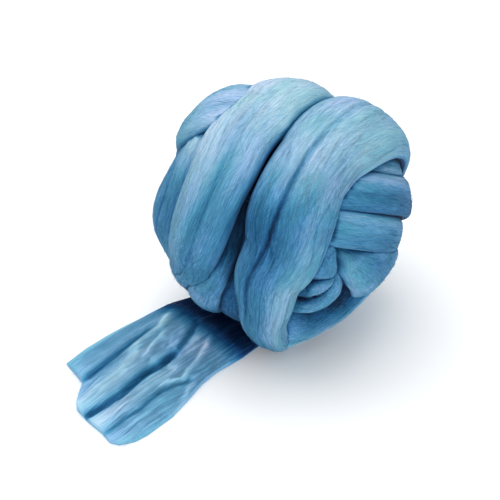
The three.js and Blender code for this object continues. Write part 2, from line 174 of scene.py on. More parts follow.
def end_height(along, across):
    """The height of the loose end's top and how far its wool seems to stand out there, in millimetres; the
    second sets its painted shade and light.
    """
    left, right, thick = end_sides(along)
    share = np.clip((2 * across - left - right) / (right - left), -1, 1)
    fullness = np.sqrt(1 - np.abs(share) ** END_ROUNDING)
    folds = np.zeros_like(along)
    for rise, half_width, places in END_FOLDS:
        line = np.array(places)
        middle = np.interp(along, line[:, 0], line[:, 1])
        starting = np.clip((along - line[0, 0]) / FOLD_RUN_OUT, 0, 1)
        ending = np.clip((line[-1, 0] - along) / FOLD_RUN_OUT, 0, 1)
        folds += rise * (starting * ending) * np.exp(-((across - middle) / half_width) ** 2)
    ahead = (along - CRUMPLED_MIDDLE[0]) / CRUMPLED_REACH[0]
    aside = (across - CRUMPLED_MIDDLE[1]) / CRUMPLED_REACH[1]
    crumpled = np.exp(-ahead ** 2 - aside ** 2)
    lane = (across + CRUMPLE_SLANT * along) / CRUMPLE_SIZE[1] + CRUMPLE_START[1]
    crumples = crumpled * soft_noise(lane, along / CRUMPLE_SIZE[0] + CRUMPLE_START[0], CRUMPLE_CELLS)
    relief = lock_relief(across, along + END_ROPE_START, END_ROPE_LENGTH, END_SEED)
    height = (thick + folds + CRUMPLE_HEIGHT * crumples + relief) * fullness
    # Painted shade and light: creases darker, ridges, locks and crumples paler.
    standing = folds * np.where(folds < 0, CREASE_TONE, RIDGE_TONE) + LOCK_TONE * relief
    standing += CRUMPLE_HEIGHT * crumples + CRUMPLED_TONE * crumpled
    return np.maximum(height, END_EDGE_HEIGHT), standing


def end_painted_light(across):
    """Painted light: how much paler the loose end's tone is made than the ball's, at places across it."""
    return np.interp(across, END_PAINTED_LIGHT[:, 0], END_PAINTED_LIGHT[:, 1])


def on_table(along, across):
    """Where a place on the loose end lies on the table, in millimetres."""
    ahead = np.array((math.cos(END_HEADING), math.sin(END_HEADING)))
    aside = np.array((ahead[1], -ahead[0]))
    return END_PLACE + along[:, None] * ahead + across[:, None] * aside


def tone_of(relief):
    """Painted shade and light: how pale the tone is made for a height in millimetres, deeper blue where low.
    """
    return np.clip(MIDDLE_TONE + TONE_PER_MM * relief, 0, 1)


def linear(hex_colour):
    """An sRGB hex colour as linear red, green, blue and alpha."""
    channels = [int(hex_colour[k:k + 2], 16) / 255 for k in (1, 3, 5)]
    return *[c / 12.92 if c <= 0.04045 else ((c + 0.055) / 1.055) ** 2.4 for c in channels], 1.0


def add_node(tree, kind, inputs, stops=(), **settings):
    """Adds a node with its settings and any colour stops, and sets or links each of its inputs."""
    node = tree.nodes.new(kind)
    for name, value in settings.items():
        setattr(node, name, value)
    for number, (place, hex_colour) in enumerate((*stops[:1], *stops[-1:])):
        node.color_ramp.elements[number].position = place
        node.color_ramp.elements[number].color = linear(hex_colour)
    for place, hex_colour in stops[1:-1]:
        node.color_ramp.elements.new(place).color = linear(hex_colour)
    for socket, value in inputs.items():
        if isinstance(value, bpy.types.NodeSocket):
            tree.links.new(value, node.inputs[socket])
        else:
            node.inputs[socket].default_value = value
    return node


# Combed merino: fine dyed fibres laid parallel. It looks satin, with slight drifts of lilac and teal in the
# dye.
# Its tone is read from each piece's painted light and shade: paler where locks stand up, on top of the ball
# and where light grazes the fibres, deeper blue in the partings and where the turns shade each other. A fibre
# is too fine to show, so bundles of fibres are drawn, and shorter ones at a slant. Sizes are along and
# across.
BUNDLE = (11.0, 0.7)
SLANTED_BUNDLE = (5.0, 0.6)
BUNDLE_SLANT = math.radians(18)
DYE_DRIFT = (45.0, 14.0)
DRIFT_CONTRAST = 0.35
DRIFT_STOPS = ((0.35, "#ecfbf4"), (0.65, "#f8f0ff"))


def combed_merino(name, length, girth, contrast, dyed):
    """Wool for a piece whose UV map is that length and girth, in millimetres, with that contrast and dye."""
    material = bpy.data.materials.new(name)
    material.use_nodes = True
    tree = material.node_tree
    tree.nodes.clear()
    uv = add_node(tree, "ShaderNodeUVMap", {}, uv_map="OFBake").outputs["UV"]
    lay = add_node(tree, "ShaderNodeMapping", {
        "Vector": uv, "Scale": (length / BUNDLE[0], girth / BUNDLE[1], 1)})
    bundles = add_node(tree, "ShaderNodeTexNoise", {
        "Vector": lay.outputs[0], "Scale": 1.0, "Detail": 2.0})
    turned = add_node(tree, "ShaderNodeMapping", {
        "Vector": uv, "Rotation": (0, 0, BUNDLE_SLANT), "Scale": (length, girth, 1)})
    slanted_lay = add_node(tree, "ShaderNodeMapping", {
        "Vector": turned.outputs[0], "Scale": (1 / SLANTED_BUNDLE[0], 1 / SLANTED_BUNDLE[1], 1)})
    slanted = add_node(tree, "ShaderNodeTexNoise", {
        "Vector": slanted_lay.outputs[0], "Scale": 1.0, "Detail": 2.0})
    drift_lay = add_node(tree, "ShaderNodeMapping", {
        "Vector": uv, "Scale": (length / DYE_DRIFT[0], girth / DYE_DRIFT[1], 1)})
    drift = add_node(tree, "ShaderNodeTexNoise", {
        "Vector": drift_lay.outputs[0], "Scale": 1.0, "Detail": 1.0})
    # The painted light and shade that each piece carries as a tone.
    lock = add_node(tree, "ShaderNodeAttribute", {}, attribute_name="painted_light_tone")
    both = add_node(tree, "ShaderNodeMath", {
        0: bundles.outputs["Fac"], 1: slanted.outputs["Fac"]}, operation="ADD")
    streak = add_node(tree, "ShaderNodeMath", {0: both.outputs[0], 1: 1.0}, operation="SUBTRACT")
    patch = add_node(tree, "ShaderNodeMath", {0: drift.outputs["Fac"], 1: 0.5}, operation="SUBTRACT")
    streaked = add_node(tree, "ShaderNodeMath", {
        0: streak.outputs[0], 1: contrast, 2: lock.outputs["Fac"]}, operation="MULTIPLY_ADD")
    tone = add_node(tree, "ShaderNodeMath", {
        0: patch.outputs[0], 1: DRIFT_CONTRAST, 2: streaked.outputs[0]}, operation="MULTIPLY_ADD")
    blues = add_node(tree, "ShaderNodeValToRGB", {"Fac": tone.outputs[0]}, dyed)
    dye = add_node(tree, "ShaderNodeValToRGB", {"Fac": drift.outputs["Fac"]}, DRIFT_STOPS)
    colour = add_node(tree, "ShaderNodeMix", {
        0: 1.0, 6: blues.outputs["Color"], 7: dye.outputs["Color"]}, data_type="RGBA", blend_type="MULTIPLY")
    bump = add_node(tree, "ShaderNodeBump", {"Height": both.outputs[0], "Strength": 0.5, "Distance": 0.0004})
    wool = add_node(tree, "ShaderNodeBsdfPrincipled", {
        "Base Color": colour.outputs[2], "Normal": bump.outputs["Normal"], "Roughness": 0.75,
        "Specular IOR Level": 0.1, "Sheen Weight": 0.05, "Sheen Roughness": 0.6,
        "Sheen Tint": linear("#f2f6ff")})
    add_node(tree, "ShaderNodeOutputMaterial", {"Surface": wool.outputs["BSDF"]})
    return material


def finish_wool(name, sculpted, tones, material, node):
    """Makes an object of a sculpted mesh, with its wool, and sets it in the place of its solid."""
    mesh = bpy.data.meshes.new(name)
    sculpted.to_mesh(mesh)
    sculpted.free()
    mesh.shade_smooth()
    mesh.materials.append(material)
    mesh.attributes.new("painted_light_tone", "FLOAT", "POINT").data.foreach_set("value", tones)
    piece = bpy.data.objects.new(name, mesh)
    bpy.context.scene.collection.objects.link(piece)
    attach(piece, "root")
    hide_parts(node)
    return piece


sculpted = bmesh.new()
sculpted.loops.layers.uv.new("OFBake")
bmesh.ops.create_grid(sculpted, x_segments=END_GRID[0], y_segments=END_GRID[1], size=1, calc_uvs=True)
top = list(sculpted.verts)
places = np.array([vert.co for vert in top])
start = np.interp(END_HALF_WIDTH * places[:, 1], TORN_EDGE[:, 0], TORN_EDGE[:, 1])
along = start + (END_LENGTH - start) * (places[:, 0] + 1) / 2
left, right, _ = end_sides(along)
across = left + (right - left) * (places[:, 1] + 1) / 2
height, standing = end_height(along, across)
for vert, spot, z in zip(top, on_table(along, across), height):
    vert.co = (spot[0] * MM, spot[1] * MM, z * MM)
rim = [edge for edge in sculpted.edges if edge.is_boundary]
skirt = bmesh.ops.extrude_edge_only(sculpted, edges=rim)["geom"]
for vert in (item for item in skirt if isinstance(item, bmesh.types.BMVert)):
    vert.co.z = 0.0
bmesh.ops.edgeloop_fill(sculpted, edges=[edge for edge in sculpted.edges if edge.is_boundary])
bmesh.ops.recalc_face_normals(sculpted, faces=sculpted.faces)
end_places = np.column_stack((along, across))
end_tones = np.full(len(sculpted.verts), END_SKIRT_TONE)
end_tones[:len(top)] = tone_of(standing) + end_painted_light(across)
loose_end = finish_wool("loose_end_wool", sculpted, end_tones,
                        combed_merino("combed merino, loose end", *END_MAP_SIZE, END_CONTRAST, OPENED_BLUES),
                        "loose_end")

# The ball's turns. Each is one turn of the rope, a soft flat band, laid over the turns before it and drawn
# snug by hand, so its edges roll under. Wound about changing axes, the first turns first.
BALL_CENTRE = np.array((0.0, 0.0, 58.0))
# A turn's length and underside, how its edges round off and wander, and how narrow its crease is.
TURN_LENGTH = 377.0
TURN_UNDER = 5.0
EDGE_ROUNDING = 2.1
EDGE_WANDER = 0.022
EDGE_BENDS = 23
FOLD_HALF_WIDTH = 0.06
# Painted shade: how much of a crease's depth shows as a deeper tone, and the height that an underside's
# darker tone stands for.
FOLD_TONE = 1.2
UNDER_RELIEF = -0.5
# The step along a turn that gives its direction, as a share of the way round.
SHARE_STEP = 0.001
# Where the ball is pressed up by the table or the loose end: how softly, and how clear of the loose end.
PRESS_DEPTH = 2.0
END_CLEARANCE = 0.6
END_EDGE_REACH = 4.0
# A winding axis points out of the ball at a longitude, from the front towards +X, and a latitude.
OUTER_AXIS = (63, -7)
INNER_AXIS = (168, 54)
BACK_AXIS = (-28, 9)
FAN_AXIS = (131, 42)
NEST_AXIS = (11, 1)
RIM_AXIS = (0, 38)


def axis_frame(axis):
    """The axis, the direction of the top of its rings, and the one a quarter turn on from that."""
    longitude, latitude = (math.radians(angle) for angle in axis)
    pole = np.array((math.sin(longitude) * math.cos(latitude), -math.cos(longitude) * math.cos(latitude),
                     math.sin(latitude)))
    top = np.array((0, 0, 1)) - pole[2] * pole
    top /= np.linalg.norm(top)
    return pole, top, np.cross(pole, top)


def round_ring(rows, share):
    """Reads a table at shares of the way round a smooth closed curve through its rows."""
    place = share * len(rows)
    first = np.floor(place).astype(int)
    part = (place - first)[:, None]
    a, b, c, d = (rows[(first + step) % len(rows)] for step in (-1, 0, 1, 2))
    return b + part / 2 * (c - a + part * (2 * a - 5 * b + 4 * c - d + part * (3 * (b - c) + d - a)))


def unit(vectors):
    """Vectors of length one, pointing the same ways."""
    return vectors / np.linalg.norm(vectors, axis=-1)[..., None]


def press_up(points):
    """Presses points that would be in the table, or in the loose end, softly up on to it."""
    offset = points[:, :2] - END_PLACE
    along = offset[:, 0] * math.cos(END_HEADING) + offset[:, 1] * math.sin(END_HEADING)
    across = offset[:, 0] * math.sin(END_HEADING) - offset[:, 1] * math.cos(END_HEADING)
    left, right, thick = end_sides(along)
    inside = np.clip(np.minimum(across - left, right - across) / END_EDGE_REACH, 0, 1) * (along < END_LENGTH)
    floor = inside * (thick + END_CLEARANCE)
    lift = points[:, 2] - floor
    pressed = PRESS_DEPTH * np.exp(np.minimum(lift - PRESS_DEPTH, 0) / PRESS_DEPTH)
    points[:, 2] = floor + np.where(lift > PRESS_DEPTH, lift, pressed)
    return points


def turn_points(turn, share, place, on_top, lift=0.0):
    """The points of one turn, in millimetres, and its tones, at shares of the way round and places across."""
    pole, top, side = axis_frame(turn["axis"])
    rows = np.array(turn["rows"], float)
    around, polar = np.radians(rows[:, 0:1]), np.radians(rows[:, 1:2])
    path = pole * np.cos(polar) + (top * np.cos(around) + side * np.sin(around)) * np.sin(polar)
    middle = unit(round_ring(path, share))
    ahead = round_ring(path, share + SHARE_STEP) - round_ring(path, share - SHARE_STEP)
    aside = unit(np.cross(middle, ahead))
    width, crown, crease, depth, lean, pale, tilt = round_ring(rows[:, 2:], share).T
    rise = np.sqrt(np.maximum(1 - np.abs(place) ** EDGE_ROUNDING, 0))
    relief = lock_relief(place * rows[:, 2].mean() / 2, share % 1 * TURN_LENGTH, TURN_LENGTH, turn["seed"])
    bends = soft_noise(turn["seed"] + np.sign(place), share % 1 * EDGE_BENDS, EDGE_BENDS)
    fold = depth * np.exp(-((place - crease) / FOLD_HALF_WIDTH) ** 2)
    drop = turn["drop"]
    swell = np.where(on_top, (drop + relief * turn["relief"] - fold) * rise, -TURN_UNDER * rise)
    radius = crown + lean * place - drop + lift + swell
    angle = place * width * (1 + EDGE_WANDER * bends) / 2 / crown
    outward = middle * np.cos(angle)[:, None] + aside * np.sin(angle)[:, None]
    # Painted light and shade in the tone: creases and undersides darker, raised locks paler, plus the rows'
    # painted columns.
    tones = tone_of(np.where(on_top, relief - FOLD_TONE * fold, UNDER_RELIEF)) + pale + tilt * place
    return press_up(outward * radius[:, None] + BALL_CENTRE), tones


# Rows of a turn: its angle round the axis and its polar angle, in degrees, its width and crown radius, the
# place of its crease across it, from -1 to 1, the crease's depth, the lean of its edge nearer the axis, how
# much paler its tone is made, and how much paler again at that edge. These last two are painted light and
# shade: below zero in the gaps and on slopes in shade, above zero on tops and rolled edges that catch the
# light.
RIGHT_OUTER_TURN = {"axis": OUTER_AXIS, "grid": (300, 150), "seed": 1, "drop": 8, "relief": 1.0, "rows": [
    (180, 80, 36, 63.5, 0, 0.3, 0, 0, 0),
    (230, 74, 38, 63, 0.2, 0.3, 0, 0, 0),
    (275, 68, 43, 65, 0.1, 0.3, 1.5, 0, 0),
    (318, 67, 49, 66.5, -0.2, 0.3, 3, -0.08, 0),
    (0, 69.3, 44, 64.5, -0.22, 0.8, 1.5, -0.08, 0),
    (20, 71.2, 40, 63, -0.22, 1.2, 1, -0.09, -0.05),
    (34, 71.3, 41.5, 62.5, -0.24, 1.4, 0.5, -0.11, 0),
    (48, 70.1, 43.5, 62, -0.3, 1.4, 0.5, -0.17, 0.1),
    (64, 68, 39.5, 61.5, -0.42, 1.3, 0.5, -0.08, 0.12),
    (81, 71, 34, 61.5, -0.5, 1.2, 0.5, 0.02, 0.12),
    (97, 70.3, 28, 61.5, -0.6, 0.8, 0, 0.05, 0.06),
    (114, 71, 23, 62, -0.7, 0.4, 0, 0.06, 0),
    (138, 71, 20, 62.5, -0.4, 0.3, 0, 0, 0),
]}
LEFT_OUTER_TURN = {"axis": OUTER_AXIS, "grid": (300, 140), "seed": 2, "drop": 7.5, "relief": 1.0, "rows": [
    (180, 116, 34, 60, -0.2, 0.3, 0, 0, 0),
    (230, 111, 38, 62, -0.1, 0.3, 0, 0, 0),
    (280, 105.5, 42, 63, 0, 0.3, 0, 0, 0),
    (325, 105.5, 45, 63, 0.1, 0.3, 0, 0, 0),
    (0, 106.8, 42.4, 62.4, 0.15, 0.3, 0, 0.02, 0),
    (20, 109, 40, 62.5, 0.2, 0.35, 0, -0.05, -0.08),
    (45, 108.8, 36.8, 62, 0.25, 0.35, 0, -0.05, -0.15),
    (70, 110.2, 35, 61.5, 0.3, 0.4, 0, -0.01, -0.13),
    (86, 113.4, 32, 60, 0.3, 0.5, 0, 0, -0.12),
    (97, 116, 28, 58.5, 0.2, 0.5, 0, 0, -0.1),
    (110, 120, 20, 57, 0, 0.3, 0, 0, 0),
    (128, 122, 18, 55.5, 0, 0.3, 0, 0, 0),
    (150, 119, 24, 56.5, 0, 0.3, 0, 0, 0),
]}
GAP_TURN = {"axis": OUTER_AXIS, "grid": (180, 50), "seed": 3, "drop": 4, "relief": 0.8, "rows": [
    (180, 97, 24, 54, 0, 0, 0, -0.25, 0),
    (270, 88, 22, 54, 0, 0, 0, -0.25, 0),
    (0, 86, 20, 51, 0, 0, 0, -0.4, 0),
    (25, 87, 20, 44, 0, 0, 0, -0.4, 0),
    (60, 88, 21, 37, 0, 0, 0, -0.4, 0),
    (86, 90, 22, 43, 0, 0, 0, -0.25, 0),
    (107, 91, 30, 49.5, 0, 0, 0, -0.25, 0),
    (130, 93, 33, 52, 0, 0, 0, -0.25, 0),
    (155, 95, 32, 53, 0, 0, 0, -0.25, 0),
]}
PINCHED_TURN = {"axis": OUTER_AXIS, "grid": (150, 48), "seed": 15, "drop": 4, "relief": 0.8, "rows": [
    (200, 112, 20, 56, 0, 0, 0, -0.08, 0),
    (280, 104, 16, 47, 0, 0, 0, -0.08, 0),
    (0, 100, 14, 45, 0, 0, 0, -0.08, 0),
    (70, 97, 10, 47, 0, 0, 0, -0.08, 0),
    (92, 98, 12, 53, 0, 0, 0, -0.08, 0),
    (106, 103, 17, 55, 0, 0, 0, -0.08, 0),
    (124, 108, 20, 55.5, 0, 0, 0, -0.08, 0),
    (150, 112, 22, 55, 0, 0, 0, -0.08, 0),
]}
FAR_TURN = {"axis": OUTER_AXIS, "grid": (220, 90), "seed": 4, "drop": 6, "relief": 0.9, "rows": [
    (0, 142, 36, 56, 0.3, 0.5, 4, 0.05, 0.03),
    (35, 145.5, 38, 56.5, 0.3, 0.5, 3.5, 0, 0.04),
    (65, 146, 38, 57.5, 0.3, 1, 0, -0.06, -0.04),
    (95, 146, 38, 59, 0.35, 1, 0, -0.02, -0.04),
    (125, 143, 32, 56, 0.4, 1, 0, -0.05, 0),
    (180, 137, 34, 58, 0.2, 1, 0, -0.19, 0),
    (240, 139, 36, 59.5, 0, 1, 0, -0.19, 0),
    (300, 134, 34, 58.5, 0.1, 1, 0, -0.19, 0),
]}
BACK_TURN = {"axis": BACK_AXIS, "grid": (220, 100), "seed": 5, "drop": 7, "relief": 0.9, "rows": [
    (220, 92, 22, 46, 0, 1.5, 0, 0.09, 0),
    (310, 90, 24, 47, -0.2, 1.5, 0, 0.09, 0),
    (0, 88, 36, 57, -0.2, 0.6, 0, 0.09, 0),
    (27, 82.8, 42.5, 65.5, -0.1, 0.5, 0, 0.07, 0),
    (45, 83, 37.5, 64, 0, 0.6, 0, 0.07, 0),
    (60, 90, 30, 60, 0.1, 1.2, 0, 0.06, 0),
    (78, 96, 29, 57.5, 0.2, 1.2, 0, 0.04, 0),
    (94, 100, 27, 51, 0.2, 1, 0, 0, 0),
    (112, 102, 24, 46, 0.2, 1, 0, 0, 0),
    (150, 98, 22, 45, 0, 1, 0, 0, 0),
]}
END_TOP_TURN = {"axis": INNER_AXIS, "grid": (170, 64), "seed": 6, "drop": 4, "relief": 0.8, "rows": [
    (230, 54, 20, 47, 0, 0, 0, 0, 0),
    (320, 55, 18, 42, 0, 0, 0, 0, 0),
    (25, 56, 20, 51, 0, 0, 0, 0, 0),
    (65, 55, 26, 57, 0, 0, 0, 0, 0),
    (110, 54, 29, 59.5, 0, 0, 0, 0, 0),
    (160, 54, 24, 54, 0, 0, 0, 0, 0),
]}
END_UPPER_TURN = {"axis": INNER_AXIS, "grid": (200, 64), "seed": 7, "drop": 4, "relief": 0.8, "rows": [
    (210, 75, 24, 45, 0, 0, 0, -0.06, 0.22),
    (275, 76, 26, 46, 0, 0, 0, -0.06, 0.22),
    (325, 75, 20, 42, 0, 0, 0, -0.06, 0.22),
    (350, 74.5, 20, 43, 0, 0, 0, -0.06, 0.22),
    (20, 74, 20, 53, 0, 0, 0, -0.06, 0.22),
    (50, 74, 19.5, 59, 0, 0, 0, -0.06, 0.22),
    (85, 74, 20, 60.5, 0, 0, 0, -0.06, 0.22),
    (120, 74, 26, 60.5, 0, 0, 0, -0.06, 0.22),
    (160, 74, 28, 55, 0, 0, 0, -0.06, 0.22),
]}
END_MIDDLE_TURN = {"axis": INNER_AXIS, "grid": (200, 64), "seed": 8, "drop": 3.6, "relief": 0.8, "rows": [
    (215, 96, 24, 46, 0, 0, 0, 0.04, 0.05),
    (275, 100, 27, 48, 0, 0, 0, 0.04, 0.05),
    (325, 94, 20, 42, 0, 0, 0, 0.04, 0.05),
    (350, 92.5, 19, 43, 0, 0, 0, 0.04, 0.05),
    (15, 91.5, 18.5, 52, 0, 0, 0, 0.04, 0.05),
    (50, 91.5, 18.5, 57, 0, 0, 0, 0.04, 0.05),
    (95, 92.5, 19, 56.5, 0, 0, 0, 0.04, 0.05),
    (140, 94, 24, 57, 0, 0, 0, 0.04, 0.05),
    (180, 94, 24, 53, 0, 0, 0, 0.04, 0.05),
]}
END_FAN_TURN = {"axis": FAN_AXIS, "grid": (200, 72), "seed": 9, "drop": 4, "relief": 0.8, "rows": [
    (220, 90, 28, 52, 0, 0, 0, 0.02, 0),
    (310, 90, 12, 46, 0, 0, 0, 0.02, 0),
    (30, 90, 8, 48, 0, 0, 0, 0.02, 0),
    (64, 89, 7, 46, 0, 0, 0, 0.02, 0),
    (75, 88.7, 9.5, 48.5, 0, 0, 0, 0.02, 0),
    (84, 89.8, 17, 53, 0, 0, 0.5, 0.02, 0),
    (94, 89.5, 23, 55.3, 0, 0, 1.5, 0.02, 0),
    (108, 89, 27.5, 55.5, 0, 0, 2.5, 0.02, 0),
    (130, 88.5, 35, 56, 0, 0, 3, 0.02, 0),
    (170, 87, 38, 56, 0, 0, 2, 0.02, 0),
]}
LOWER_INNER_TURN = {"axis": INNER_AXIS, "grid": (130, 48), "seed": 10, "drop": 6, "relief": 0.8, "rows": [
    (240, 134, 34, 55, 0, 0, 0, -0.1, 0),
    (310, 138, 28, 50, 0, 0, 0, -0.1, 0),
    (0, 140, 22, 44, 0, 0, 0, -0.1, 0),
    (70, 142, 20, 41, 0, 0, 0, -0.1, 0),
    (100, 140, 24, 45, 0, 0, 0, -0.1, 0),
    (130, 138, 34, 54, 0, 0, 0, -0.1, 0),
    (180, 134, 36, 57, 0, 0, 0, -0.1, 0),
]}
RIM_STRAND = {"axis": RIM_AXIS, "grid": (170, 56), "seed": 11, "drop": 7, "relief": 0.7, "rows": [
    (340, 90, 12, 45, 0, 0, 0, -0.06, 0),
    (80, 90, 12, 45, 0, 0, 0, -0.06, 0),
    (140, 88, 14, 44, 0, 0, 0, -0.06, 0),
    (165, 80, 24, 52, 0, 0, -2, -0.06, 0),
    (180, 80.5, 25, 58.3, -0.1, 0.6, -6, 0.05, -0.2),
    (193, 84.5, 16, 57, -0.1, 1.1, -4, 0.05, -0.35),
    (206, 85.5, 13, 55, -0.05, 1.2, -4, 0.05, -0.4),
    (219, 84.5, 13, 53.6, 0, 1.1, -4, -0.02, -0.4),
    (233, 81, 16, 52.5, 0, 0.8, -4, -0.04, -0.3),
    (250, 80, 18, 49, 0, 0, 0, -0.06, 0),
]}
PINCH_STRAND = {"axis": OUTER_AXIS, "grid": (120, 40), "seed": 12, "drop": 3, "relief": 0.5, "rows": [
    (230, 52, 10, 44, 0, 0, 0, -0.14, 0),
    (330, 52, 8, 44, 0, 0, 0, -0.14, 0),
    (40, 50, 7, 49, 0, 0, 0, -0.14, 0),
    (55, 48, 9, 53, 0, 0, 0, -0.14, 0),
    (62, 47, 11, 53.5, 0, 0, 0, -0.14, 0),
    (69, 46.5, 14, 53.5, 0, 0, 0, -0.14, 0),
    (76, 46, 16, 52.5, 0, 0, 0, -0.14, 0),
    (82, 46.5, 15, 49, 0, 0, 0, -0.14, 0),
    (92, 48, 12, 43, 0, 0, 0, -0.14, 0),
    (120, 52, 10, 42, 0, 0, 0, -0.14, 0),
]}
INNER_NEST_STRAND = {"axis": NEST_AXIS, "grid": (110, 40), "seed": 13, "drop": 3.5, "relief": 0.4, "rows": [
    (130, 10, 7, 47, 0, 0, 0, -0.1, 0),
    (183, 8, 8.5, 50, 0, 0, 0, -0.1, 0),
    (215, 8, 8.5, 51, 0, 0, 0, -0.1, 0),
    (243, 10, 8, 51.5, 0, 0, 0, -0.1, 0),
    (258, 14, 6, 50.5, 0, 0, 0, -0.1, 0),
    (268, 18, 4.5, 47, 0, 0, 0, -0.1, 0),
    (300, 19, 4, 44, 0, 0, 0, -0.1, 0),
    (20, 15, 5, 44, 0, 0, 0, -0.1, 0),
]}
OUTER_NEST_STRAND = {"axis": NEST_AXIS, "grid": (110, 40), "seed": 14, "drop": 3.5, "relief": 0.4, "rows": [
    (90, 20, 7, 46, 0, 0, 0, -0.1, 0),
    (150, 20.5, 8, 49, 0, 0, 0, -0.1, 0),
    (185, 21, 8.5, 51, 0, 0, 0, -0.1, 0),
    (215, 20, 8.5, 52, 0, 0, 0, -0.1, 0),
    (240, 18.5, 8.5, 52, 0, 0, 0, -0.1, 0),
    (262, 18, 6.5, 49.5, 0, 0, 0, -0.1, 0),
    (290, 17, 5, 46, 0, 0, 0, -0.1, 0),
    (0, 18, 5, 44, 0, 0, 0, -0.1, 0),
]}

# The first turns. The same rope, wound tight on itself before the other turns went over it, so hardly any
# light reaches it. Its tone is painted shade, near the darkest of the dye, so it shows only as a deep blue
# dark at the bottom of the gaps.
FIRST_RADIUS = 43.0
FIRST_GIRTH = 2 * math.pi * FIRST_RADIUS
FIRST_STEPS = (96, 48)
FIRST_SEED = 16
FIRST_SHADED_TONE = 0.08
FIRST_TONE_PER_MM = 0.02
FIRST_CONTRAST = 0.1
# The dye from tone 0 to tone 1. Wound, the wool is a greyer blue.
WOUND_BLUES = ((0.0, "#0a2344"), (0.22, "#1c5a86"), (0.5, "#498aae"), (0.78, "#8db5cc"), (1.0, "#c5d8e3"))

sculpted = bmesh.new()
sculpted.loops.layers.uv.new("OFBake")
bmesh.ops.create_uvsphere(sculpted, u_segments=FIRST_STEPS[0], v_segments=FIRST_STEPS[1], radius=1,
                          calc_uvs=True)
outward = np.array([vert.co for vert in sculpted.verts])
share = np.arctan2(outward[:, 1], outward[:, 0]) / (2 * np.pi) % 1
level = FIRST_RADIUS * np.arcsin(np.clip(outward[:, 2], -1, 1))
relief = lock_relief(level, share * FIRST_GIRTH, FIRST_GIRTH, FIRST_SEED) * (1 - outward[:, 2] ** 2)
for vert, point in zip(sculpted.verts, BALL_CENTRE + outward * (FIRST_RADIUS + relief)[:, None]):
    vert.co = point * MM
first_wool = combed_merino("combed merino, first_turns", FIRST_GIRTH, FIRST_GIRTH / 2, FIRST_CONTRAST,
                           WOUND_BLUES)
finish_wool("first_turns", sculpted, FIRST_SHADED_TONE + FIRST_TONE_PER_MM * relief, first_wool,
            "wound_ball")

# The shade between turns, painted into the tone. Where they lie against each other the wool sees little
# light, so its tone is painted a deep blue there. A coarse skin of points over every turn, and over the loose
# end, tells how open each place is.
ALL_TURNS = [GAP_TURN, PINCHED_TURN, FAR_TURN, BACK_TURN, END_TOP_TURN, END_UPPER_TURN, END_MIDDLE_TURN,
             END_FAN_TURN, LOWER_INNER_TURN, RIM_STRAND, PINCH_STRAND, INNER_NEST_STRAND, OUTER_NEST_STRAND,
             LEFT_OUTER_TURN, RIGHT_OUTER_TURN]
SKIN_STEPS = (96, 24)
END_SKIN_STEPS = (80, 72)
END_SKIN_ALONG = (-10.0, END_LENGTH)
END_SKIN_ACROSS = (-28.0, 30.0)
NEAR_TABLE = 12.0
# How far a shading ray reaches, how far off the wool it starts, and how squarely it has to leave it.
SHADE_REACH = 30.0
RAY_START = 0.5
LEAST_FACING = 0.1
# Rays to every side, spread evenly by the golden angle.
SKY_RAYS = 44
ray = np.arange(SKY_RAYS)
ray_height = 1 - (2 * ray + 1) / SKY_RAYS
ray_turn = ray * np.pi * (3 - math.sqrt(5))
ray_level = np.sqrt(1 - ray_height ** 2)
SKY = np.column_stack((ray_level * np.cos(ray_turn), ray_level * np.sin(ray_turn), ray_height))
# Where the loose end goes in under the ball, it is in deep shade, along a line that slants on its right.
END_SHADE_STARTS = 54.0
END_SHADE_FULL = 72.0
END_SHADE_SLANT = 0.2
END_SHADE_TURNS = 8.0
END_LEAST_OPEN = 0.45
# Painted shade: how the tone falls off with openness. Painted light: how the ball's top is paler, from one
# height up to another.
FULL_LIGHT = 1.12
LEAST_LIGHT = 0.05
SHADE_POWER = 1.5
TOP_LIGHT_STARTS = 82.0
TOP_LIGHT_RISE = 38.0
TOP_LIGHT_TONE = 0.32


def turn_skin(turn):
    """Points over the top of a turn, closer together towards its edges."""
    share, swing = np.meshgrid(*(np.linspace(0, 1, steps + 1) for steps in SKIN_STEPS), indexing="ij")
    points, _ = turn_points(turn, share.ravel(), -np.cos(np.pi * swing.ravel()), True)
    return points.reshape(*share.shape, 3)


def end_skin():
    """Points over the top of the loose end."""
    along, across = np.meshgrid(np.linspace(*END_SKIN_ALONG, END_SKIN_STEPS[0] + 1),
                                np.linspace(*END_SKIN_ACROSS, END_SKIN_STEPS[1] + 1), indexing="ij")
    height, _ = end_height(along.ravel(), across.ravel())
    return np.column_stack((on_table(along.ravel(), across.ravel()), height)).reshape(*along.shape, 3)


def skin_quads(skins):
    """The corners of all the skins and the four-sided faces between them."""
    faces, first = [], 0
    for skin in skins:
        corner = first + np.arange(skin.shape[0] * skin.shape[1]).reshape(skin.shape[:2])
        sides = corner[:-1, :-1], corner[:-1, 1:], corner[1:, 1:], corner[1:, :-1]
        faces += np.stack(sides, -1).reshape(-1, 4).tolist()
        first += corner.size
    return np.concatenate([skin.reshape(-1, 3) for skin in skins]).tolist(), faces


def openness(skin, tree):
    """How much of the sky every point of a skin sees past all the skins, from 0 to 1."""
    normals = np.cross(np.gradient(skin, axis=0), np.gradient(skin, axis=1))
    normals /= np.linalg.norm(normals, axis=2)[:, :, None] + 1e-9
    inward = np.sum(normals * (skin - BALL_CENTRE), axis=2)[:, :, None] <= 0
    turned_in = inward & ((skin[:, :, 2:] >= NEAR_TABLE) | (normals[:, :, 2:] < 0))
    normals = np.where(turned_in, -normals, normals)
    seen = np.zeros(skin.shape[:2])
    for spot in np.ndindex(seen.shape):
        facing = SKY @ normals[spot]
        start = Vector(skin[spot] + RAY_START * normals[spot])
        ahead = np.flatnonzero(facing > LEAST_FACING)
        clear = [tree.ray_cast(start, Vector(SKY[number]), SHADE_REACH)[0] is None for number in ahead]
        seen[spot] = facing[ahead] @ clear / facing[ahead].sum()
    return seen


